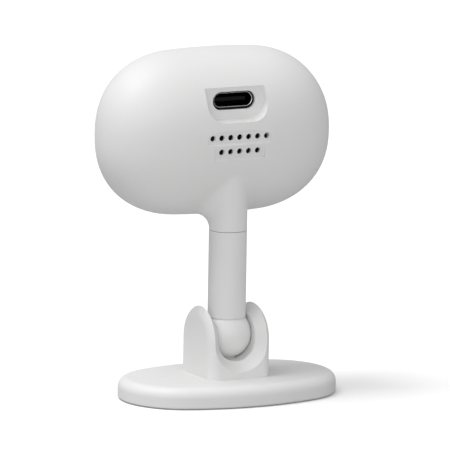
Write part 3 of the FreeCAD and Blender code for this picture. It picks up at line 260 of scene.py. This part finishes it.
LENS_LOW, LENS_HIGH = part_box("lens_barrel")
LENS_MIDDLE = [(low + high) / 2 for low, high in zip(LENS_LOW, LENS_HIGH)]
LENS_RADIUS = (LENS_HIGH[0] - LENS_LOW[0]) / 2
SHELL = (0.775, 0.775, 0.772)
MATERIALS = {
    "shell_plastic": moulded("shell", SHELL, 0.50, 3800.0, 0.22, 0.012),
    "ball_plastic": moulded("ball", (0.80, 0.80, 0.796), 0.38, 5200.0, 0.08, 0.02),
    "inner_plastic": moulded("inner_black", (0.006, 0.006, 0.0065), 0.5, 5000.0, 0.15, 0.08,
                             specular=0.12),
    "nylon": moulded("acetal", (0.60, 0.60, 0.56), 0.35, 5200.0, 0.08, 0.03),
    "rubber_pad": moulded("rubber", (0.045, 0.045, 0.048), 0.72, 2600.0, 0.4, 0.1, sheen=0.1),
    "steel": metal("zinc_steel", (0.56, 0.56, 0.57), 0.32),
    "can_steel": metal("tinned_steel", (0.42, 0.42, 0.41), 0.22, (1, 8, 1)),
    "aluminium": metal("aluminium_sheet", (0.75, 0.76, 0.77), 0.35, (10, 1, 1)),
    "brass_strip": metal("brass_strip", (0.72, 0.53, 0.25), 0.3, (10, 1, 1)),
    "window_black": smoked_window("smoked_window", LENS_MIDDLE, LENS_RADIUS),
    "circuit_board": circuit("green_board", (0.015, 0.13, 0.05), (0.55, 0.45, 0.2)),
    "circuit_board_black": circuit("black_board", (0.012, 0.012, 0.014), (0.45, 0.38, 0.2)),
    "chip_black": moulded("chip_epoxy", (0.022, 0.022, 0.024), 0.55, 4200.0, 0.2, 0.1),
    "thermal_gray": moulded("thermal_silicone", (0.38, 0.40, 0.43), 0.7, 2600.0, 0.3, 0.06),
    "led_clear": clear("led_epoxy", (0.86, 0.88, 0.9), 0.04, 1.52, 0.85),
    "ribbon": moulded("polyimide", (0.42, 0.18, 0.03), 0.28, 3000.0, 0.08, 0.12, coat=0.3),
    "lens_black": moulded("anodised_black", (0.014, 0.014, 0.016), 0.42, 6000.0, 0.12, 0.1),
    "lens_glass": clear("coated_glass", (0.62, 0.70, 0.85), 0.01, 1.6, 0.9),
    "speaker_film": moulded("speaker_film", (0.10, 0.10, 0.11), 0.3, 3000.0, 0.1, 0.1),
    "mesh_cloth": woven("dust_cloth", (0.008, 0.008, 0.008)),
}

SPECIAL = {
    # The second colour is a painted highlight on the socket's rounded edge, not wear.
    "usb_c_shell": socket_metal("socket_metal", (0.045, 0.045, 0.047), (0.85, 0.85, 0.84), 0.24),
    # The USB board takes the black board material in place of its own, which paints the socket's cavity
    # dark as painted shade.
    "usb_board": MATERIALS["circuit_board_black"],
}

for part in RECORD["subparts"]:
    shown = NODES[part["node"]]
    for slot in shown.material_slots:
        slot.material = SPECIAL.get(part["node"], MATERIALS[part["material_slot"]])


# ---------------------------------------------------------------- floor, light and camera

FLOOR_REACH = 6.0
FLOOR_SEEN = (0.97, 0.97, 0.97)
FLOOR_BOUNCED = (0.45, 0.45, 0.45)
FLOOR_GLOW = 0.10
WORLD_FILL = 0.50
WORLD_SEEN = 1.0


def make_floor():
    """A pale floor that looks lighter than the light it gives back, so the underside stays shaded."""
    mesh = bpy.data.meshes.new("floor")
    reach = FLOOR_REACH
    corners = [(-reach, -reach, 0), (reach, -reach, 0), (reach, reach, 0), (-reach, reach, 0)]
    mesh.from_pydata(corners, [], [(0, 1, 2, 3)])
    floor = bpy.data.objects.new("floor", mesh)
    SCENE.collection.objects.link(floor)
    material, tree, shader = new_material("floor_paper")
    vector = coordinates(tree)
    drift = spread(tree, noise(tree, vector, 3.0), 0, 1)
    seen = shade(tree, drift, FLOOR_SEEN, 0.003)
    bounced = shade(tree, drift, FLOOR_BOUNCED, 0.003)
    path = tree.nodes.new("ShaderNodeLightPath")
    choice = tree.nodes.new("ShaderNodeMix")
    choice.data_type = "RGBA"
    tree.links.new(path.outputs["Is Camera Ray"], choice.inputs["Factor"])
    tree.links.new(bounced, choice.inputs["A"])
    tree.links.new(seen, choice.inputs["B"])
    tree.links.new(choice.outputs["Result"], shader.inputs["Base Color"])
    glow = tree.nodes.new("ShaderNodeMath")
    glow.operation = "MULTIPLY"
    glow.inputs[1].default_value = FLOOR_GLOW
    tree.links.new(path.outputs["Is Camera Ray"], glow.inputs[0])
    tree.links.new(glow.outputs["Value"], shader.inputs["Emission Strength"])
    shader.inputs["Emission Color"].default_value = (1, 1, 1, 1)
    shader.inputs["Roughness"].default_value = 0.9
    shader.inputs["Specular IOR Level"].default_value = 0.1
    mesh.materials.append(material)


def make_world():
    """Even white surroundings, a white backdrop to the camera and a weaker fill to everything else."""
    world = bpy.data.worlds.new("studio")
    SCENE.world = world
    world.use_nodes = True
    tree = world.node_tree
    tree.nodes.clear()
    output = tree.nodes.new("ShaderNodeOutputWorld")
    fill = tree.nodes.new("ShaderNodeBackground")
    seen = tree.nodes.new("ShaderNodeBackground")
    switch = tree.nodes.new("ShaderNodeMixShader")
    path = tree.nodes.new("ShaderNodeLightPath")
    fill.inputs["Color"].default_value = (1, 1, 1, 1)
    fill.inputs["Strength"].default_value = WORLD_FILL
    seen.inputs["Color"].default_value = (1, 1, 1, 1)
    seen.inputs["Strength"].default_value = WORLD_SEEN
    tree.links.new(path.outputs["Is Camera Ray"], switch.inputs["Fac"])
    tree.links.new(fill.outputs[0], switch.inputs[1])
    tree.links.new(seen.outputs[0], switch.inputs[2])
    tree.links.new(switch.outputs[0], output.inputs["Surface"])


AZIMUTH = math.radians(153.0)
ELEVATION = math.radians(9.94)
ROLL = math.radians(0.93)
CAMERA_PLACE = Vector((0.67158, 1.31671, 0.29347))
CAMERA_LENS = 598.8
CAMERA_BACK = Vector((math.sin(AZIMUTH) * math.cos(ELEVATION), -math.cos(AZIMUTH) * math.cos(ELEVATION),
                      math.sin(ELEVATION)))
LEVEL_RIGHT = Vector((math.cos(AZIMUTH), math.sin(AZIMUTH), 0))
LEVEL_UP = CAMERA_BACK.cross(LEVEL_RIGHT)


def make_sun(name, direction, strength, softness):
    """A soft light shining from a direction given as left, up and towards the camera."""
    data = bpy.data.lights.new(name, "SUN")
    data.energy = strength
    data.angle = math.radians(softness)
    light = bpy.data.objects.new(name, data)
    left, up, near = direction
    source = -LEVEL_RIGHT * left + LEVEL_UP * up + CAMERA_BACK * near
    light.rotation_euler = source.to_track_quat("Z", "Y").to_euler()
    SCENE.collection.objects.link(light)


def make_camera():
    data = bpy.data.cameras.new("camera")
    data.sensor_width = 36.0
    data.lens = CAMERA_LENS
    data.clip_start = 0.05
    data.clip_end = 50.0
    camera = bpy.data.objects.new("camera", data)
    turn, lean = math.cos(ROLL), math.sin(ROLL)
    right = LEVEL_RIGHT * turn + LEVEL_UP * lean
    up = LEVEL_UP * turn - LEVEL_RIGHT * lean
    standing = Matrix((right, up, CAMERA_BACK)).transposed().to_4x4()
    standing.translation = CAMERA_PLACE
    camera.matrix_world = standing
    SCENE.collection.objects.link(camera)
    SCENE.camera = camera


make_floor()
make_world()
make_sun("key", (0.50, 1.0, 0.25), 1.78, 34)
make_sun("front_fill", (-0.05, 0.05, 1.0), 1.0, 60)
make_camera()
SCENE.view_settings.view_transform = "Standard"
